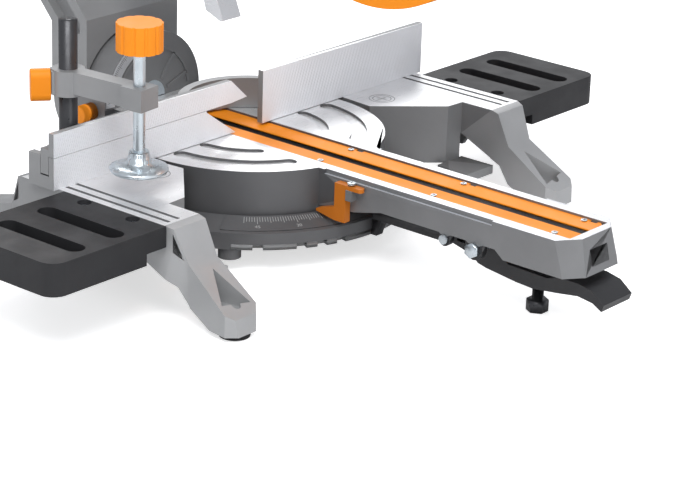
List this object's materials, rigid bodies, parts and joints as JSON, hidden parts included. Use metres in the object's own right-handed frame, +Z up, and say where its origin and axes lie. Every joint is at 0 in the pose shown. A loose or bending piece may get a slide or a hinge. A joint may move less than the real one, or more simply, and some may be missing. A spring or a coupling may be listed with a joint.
{
  "type": "sliding compound mitre saw",
  "caption": "Sliding compound mitre saw with turntable arm, split fence, side wings, hold-down clamp, bevelling rail carriage and guarded blade head.",
  "frame": {"origin": "turntable pivot axis on the bench, at the centre of the four bench bolt holes", "axes": "+X right along the fence, +Y to the rear, square to the fence, +Z up"},
  "size_m": [0.722, 0.856, 0.5657],
  "materials": {
    "cast_light": "grey painted casting",
    "cast_dark": "dark grey casting",
    "machined_aluminium": "machined, fine serrations",
    "black_plastic": "moulded black",
    "black_steel": "black coated steel",
    "orange_plastic": "moulded orange",
    "zinc_steel": "zinc plated",
    "chrome_steel": "hard chrome",
    "blade_steel": "ground steel",
    "motor_steel": "laminated steel",
    "carbon": "graphite block",
    "rubber": "black rubber"
  },
  "bodies": {
    "base": {"base_casting": "cast_light", "rubber_feet": "rubber", "mitre_scale": "cast_light", "detent_plate": "cast_light", "table_plugs": "machined_aluminium", "wing_left": "black_plastic", "wing_right": "black_plastic", "wing_screws": "zinc_steel", "lower_fence": "machined_aluminium", "fence_bolts": "zinc_steel"},
    "sliding_fence": {"sliding_fence": "machined_aluminium"},
    "fence_lock_knob": {"fence_lock_knob": "orange_plastic"},
    "turntable": {"turntable": "cast_light", "kerf_plate_left": "orange_plastic", "kerf_plate_right": "orange_plastic", "kerf_screws": "zinc_steel", "mitre_pointer": "orange_plastic", "pointer_screw": "zinc_steel", "pivot_bolt": "zinc_steel", "lever_pivot_bolt": "zinc_steel"},
    "mitre_lock_lever": {"mitre_lock_lever": "black_plastic"},
    "detent_lever": {"detent_lever": "black_steel"},
    "anti_tip_foot": {"anti_tip_foot": "black_steel"},
    "bevel_arm": {"bevel_arm": "cast_light", "bevel_pivot_pin": "zinc_steel", "linear_bushes": "zinc_steel"},
    "bevel_lock_lever": {"bevel_lock_lever": "orange_plastic"},
    "bevel_stop_pin": {"bevel_stop_pin": "orange_plastic"},
    "slide_lock_knob": {"slide_lock_knob": "orange_plastic"},
    "carriage": {"carriage": "cast_light", "slide_rails": "chrome_steel", "rail_end_cap": "black_plastic", "chop_pivot_shaft": "zinc_steel", "return_spring": "zinc_steel", "chip_deflector": "machined_aluminium"},
    "head": {"head_casting": "cast_light", "upper_guard": "black_steel", "gearbox_cover": "cast_dark", "motor_housing": "black_plastic", "motor_end_cap": "black_plastic", "motor_stator": "motor_steel", "motor_bearings": "zinc_steel", "carbon_brushes": "carbon", "handle_left": "black_plastic", "handle_right": "black_plastic"},
    "armature": {"armature": "motor_steel", "cooling_fan": "orange_plastic"},
    "trigger": {"trigger": "orange_plastic"},
    "lock_off_button": {"lock_off_button": "orange_plastic"},
    "spindle_lock_button": {"spindle_lock_button": "black_plastic"},
    "lower_guard": {"lower_guard": "orange_plastic"},
    "blade": {"saw_blade": "blade_steel", "arbor": "zinc_steel", "drive_gear": "zinc_steel"},
    "clamp_post": {"clamp_post": "black_steel"},
    "clamp_arm": {"clamp_arm": "cast_light"},
    "clamp_lock_knob": {"clamp_lock_knob": "orange_plastic"},
    "clamp_pad": {"clamp_pad": "zinc_steel"},
    "clamp_spindle": {"clamp_spindle": "orange_plastic"}
  },
  "joints": [
    {"name": "mitre_swing", "type": "hinge", "parent": "base", "child": "turntable", "pos_m": [0, 0, 0], "axis": [0, 0, 1], "range_deg": [-45, 45]},
    {"name": "bevel_tilt", "type": "hinge", "parent": "turntable", "child": "bevel_arm", "pos_m": [0, 0.15, 0.083], "axis": [0, 1, 0], "range_deg": [-45, 0]},
    {"name": "head_slide", "type": "slide", "parent": "bevel_arm", "child": "carriage", "axis": [0, -1, 0], "range_m": [-0.092, 0.138]},
    {"name": "head_chop", "type": "hinge", "parent": "carriage", "child": "head", "pos_m": [0, 0.046, 0.29], "axis": [1, 0, 0], "range_deg": [0, 45.5], "stiffness_Nm_per_rad": 18, "springref_deg": -57.3},
    {"name": "lower_guard_swing", "type": "hinge", "parent": "head", "child": "lower_guard", "pos_m": [0, -0.138, 0.355], "axis": [1, 0, 0], "range_deg": [-160, 5]},
    {"name": "blade_spin", "type": "hinge", "parent": "head", "child": "blade", "pos_m": [0, -0.138, 0.355], "axis": [1, 0, 0], "continuous": true},
    {"name": "armature_spin", "type": "hinge", "parent": "head", "child": "armature", "pos_m": [0, -0.118, 0.38964], "axis": [1, 0, 0], "continuous": true},
    {"name": "trigger_pull", "type": "slide", "parent": "head", "child": "trigger", "axis": [0, -0.5878, 0.809], "range_m": [0, 0.006], "stiffness_N_per_m": 300, "springref_m": -0.004},
    {"name": "lock_off_press", "type": "slide", "parent": "head", "child": "lock_off_button", "axis": [0, 0.3907, -0.9205], "range_m": [0, 0.003], "stiffness_N_per_m": 300, "springref_m": -0.004},
    {"name": "spindle_lock_press", "type": "slide", "parent": "head", "child": "spindle_lock_button", "axis": [0, 0.6428, 0.766], "range_m": [0, 0.003], "stiffness_N_per_m": 300, "springref_m": -0.004},
    {"name": "mitre_lock_pull", "type": "hinge", "parent": "turntable", "child": "mitre_lock_lever", "pos_m": [0, -0.283, 0.053], "axis": [-1, 0, 0], "range_deg": [-8, 0]},
    {"name": "detent_lift", "type": "hinge", "parent": "turntable", "child": "detent_lever", "pos_m": [0, -0.252, 0.054], "axis": [1, 0, 0], "range_deg": [-7, 0], "stiffness_Nm_per_rad": 4, "springref_deg": 11.46},
    {"name": "anti_tip_screw", "type": "slide", "parent": "turntable", "child": "anti_tip_foot", "axis": [0, 0, 1], "range_m": [0, 0.015]},
    {"name": "bevel_lock_turn", "type": "hinge", "parent": "turntable", "child": "bevel_lock_lever", "pos_m": [0.03637, 0.19, 0.062], "axis": [0, 1, 0], "range_deg": [-30, 30]},
    {"name": "bevel_stop_pull", "type": "slide", "parent": "turntable", "child": "bevel_stop_pin", "axis": [-1, 0, 0], "range_m": [0, 0.005]},
    {"name": "slide_lock_turn", "type": "hinge", "parent": "bevel_arm", "child": "slide_lock_knob", "pos_m": [-0.059, 0.253, 0.27], "axis": [1, 0, 0], "range_deg": [0, 360]},
    {"name": "fence_slide_left", "type": "slide", "parent": "base", "child": "sliding_fence", "axis": [-1, 0, 0], "range_m": [0, 0.065]},
    {"name": "fence_lock_turn", "type": "hinge", "parent": "base", "child": "fence_lock_knob", "pos_m": [-0.08, 0.02, 0.1025], "axis": [0, 1, 0], "range_deg": [0, 360]},
    {"name": "clamp_swing", "type": "hinge", "parent": "base", "child": "clamp_post", "pos_m": [-0.198, 0.028, 0.083], "axis": [0, 0, 1], "range_deg": [-50, 30]},
    {"name": "clamp_height", "type": "slide", "parent": "clamp_post", "child": "clamp_arm", "axis": [0, 0, 1], "range_m": [-0.004, 0.035]},
    {"name": "clamp_lock_turn", "type": "hinge", "parent": "clamp_arm", "child": "clamp_lock_knob", "pos_m": [-0.198, 0.028, 0.16], "axis": [-0.788, 0.6157, 0], "range_deg": [0, 360]},
    {"name": "pad_travel", "type": "slide", "parent": "clamp_arm", "child": "clamp_pad", "axis": [0, 0, 1], "range_m": [-0.012, 0.012]},
    {"name": "clamp_screw_turn", "type": "hinge", "parent": "clamp_pad", "child": "clamp_spindle", "pos_m": [-0.191, -0.048, 0.1], "axis": [0, 0, 1], "range_deg": [-1080, 1080]}
  ],
  "couplings": [
    {"joint": "lower_guard_swing", "follows": "head_chop", "ratio": -3.4},
    {"joint": "armature_spin", "follows": "blade_spin", "ratio": -4.6},
    {"joint": "clamp_screw_turn", "follows": "pad_travel", "rad_per_m": 1570.8}
  ]
}
